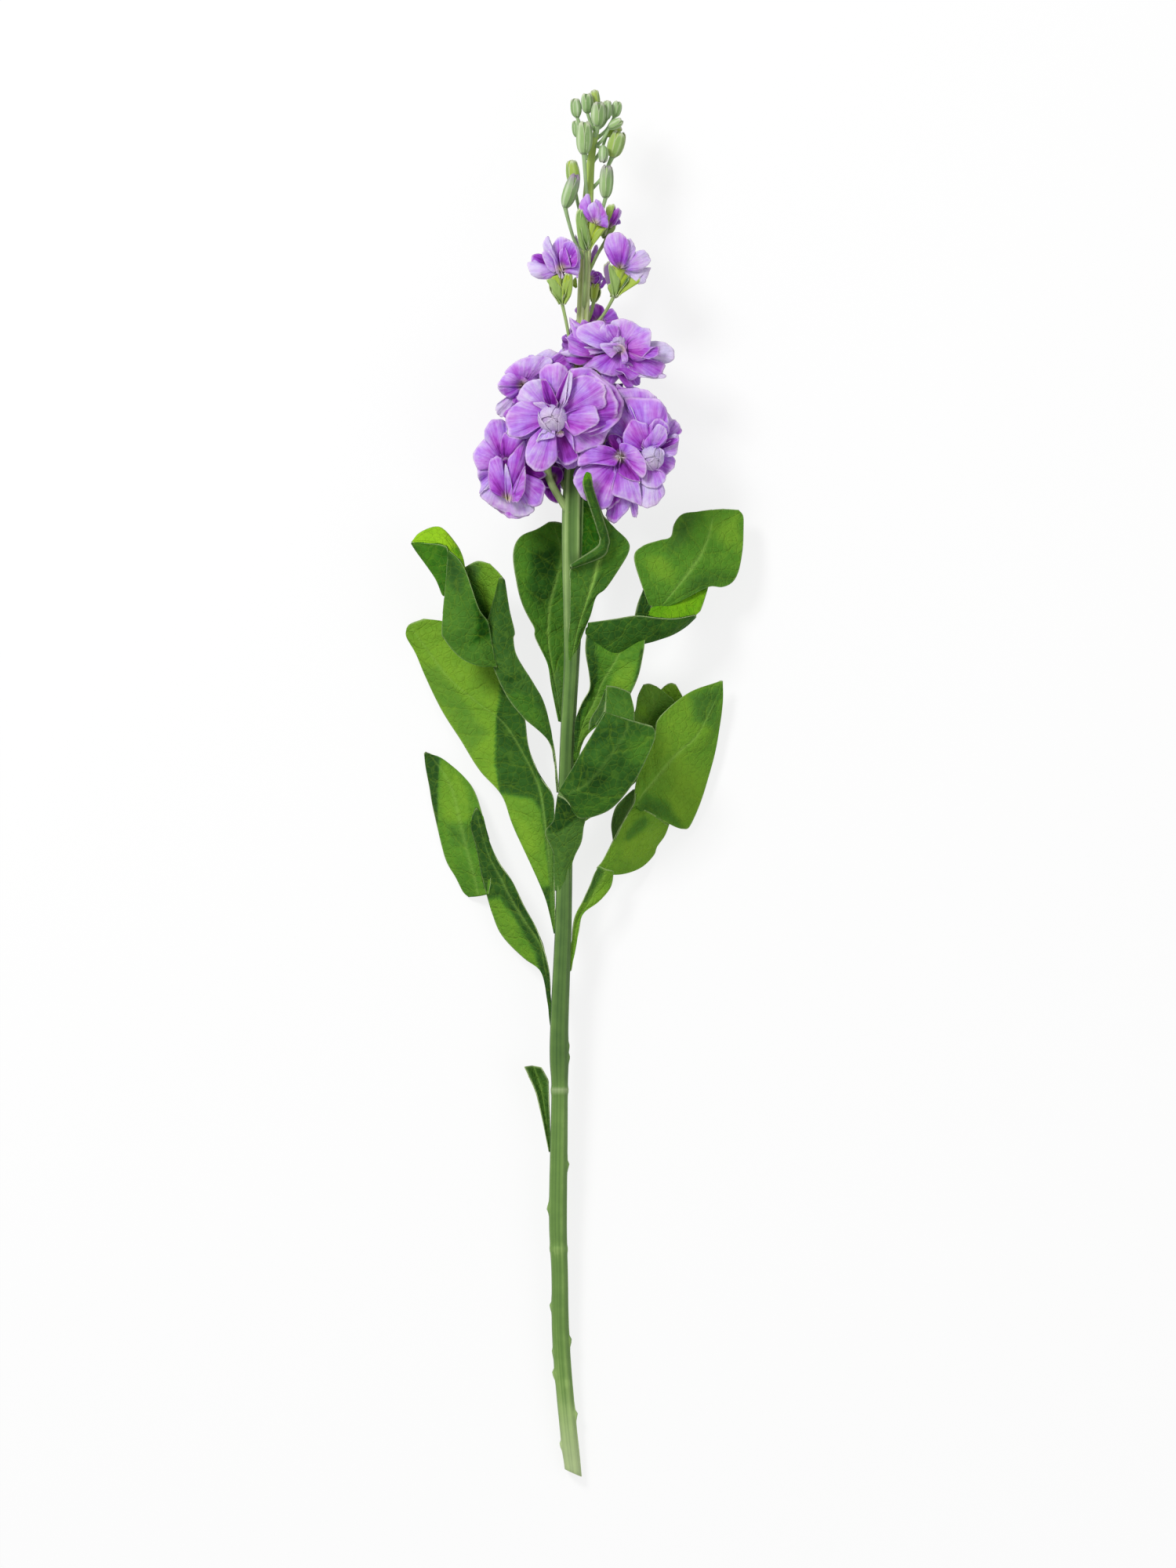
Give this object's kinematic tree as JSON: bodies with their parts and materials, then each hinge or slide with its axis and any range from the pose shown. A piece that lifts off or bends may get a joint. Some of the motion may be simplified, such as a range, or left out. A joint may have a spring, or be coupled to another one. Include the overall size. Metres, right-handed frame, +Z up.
{
  "type": "cut stock flower stem",
  "caption": "Cut stem of double stock lying on its side: ridged stem, curled leaves, a dense cluster of ruffled lilac florets, half-open flowers and a spike of green buds.",
  "frame": {"origin": "centre of the bounding box at the surface that the stem lies on", "axes": "+Y along the stem from its cut end to its buds, +Z up from the surface, +X to the right seen from above"},
  "size_m": [0.1473, 0.6014, 0.0679],
  "materials": {
    "stem": "matt, finely downy green skin",
    "leaf": "matt, softly downy green, veined, translucent where it is one layer thick",
    "bud": "matt grey-green sepals with pale down",
    "calyx": "matt yellow-green sepals",
    "petal": "silky matt lilac with paler rims and fine veins",
    "petal_centre": "silky matt pale lilac to cream"
  },
  "bodies": {
    "root": {"bud_01_purple_tip": "bud", "bud_02_right": "bud", "bud_03_back_left": "bud", "bud_04_front": "bud", "bud_05_outer_right": "bud", "bud_06_hanging": "bud", "bud_07_upper_left": "bud", "bud_08_left": "bud", "bud_09_top_left": "bud", "bud_10_top": "bud", "bud_11_tip_front": "bud", "bud_12_tip_right": "bud", "bud_13_outer_top": "bud", "bud_14_outer_side": "bud", "bud_15_yellow": "bud", "floret_front_calyx": "calyx", "floret_front_centre": "petal_centre", "floret_front_petals": "petal", "floret_lower_left_calyx": "calyx", "floret_lower_left_petals": "petal", "floret_lower_right_calyx": "calyx", "floret_lower_right_centre": "petal_centre", "floret_lower_right_petals": "petal", "floret_right_calyx": "calyx", "floret_right_centre": "petal_centre", "floret_right_petals": "petal", "floret_top_back_calyx": "calyx", "floret_top_back_petals": "petal", "floret_under_left_calyx": "calyx", "floret_under_left_petals": "petal", "floret_under_right_calyx": "calyx", "floret_under_right_petals": "petal", "floret_upper_left_calyx": "calyx", "floret_upper_left_petals": "petal", "floret_upper_right_calyx": "calyx", "floret_upper_right_centre": "petal_centre", "floret_upper_right_petals": "petal", "leaf_back_right": "leaf", "leaf_behind_stem": "leaf", "leaf_front": "leaf", "leaf_large_left": "leaf", "leaf_lower_left": "leaf", "leaf_lower_right": "leaf", "leaf_under_bloom": "leaf", "leaf_upper_left": "leaf", "leaf_upper_right": "leaf", "main_stem": "stem", "opening_behind_calyx": "calyx", "opening_behind_petals": "petal", "opening_front_calyx": "calyx", "opening_front_petals": "petal", "opening_left_calyx": "calyx", "opening_left_petals": "petal", "opening_right_calyx": "calyx", "opening_right_petals": "petal", "opening_small_right_calyx": "calyx", "opening_small_right_petals": "petal", "torn_leaf_stub": "leaf"}
  },
  "joints": []
}
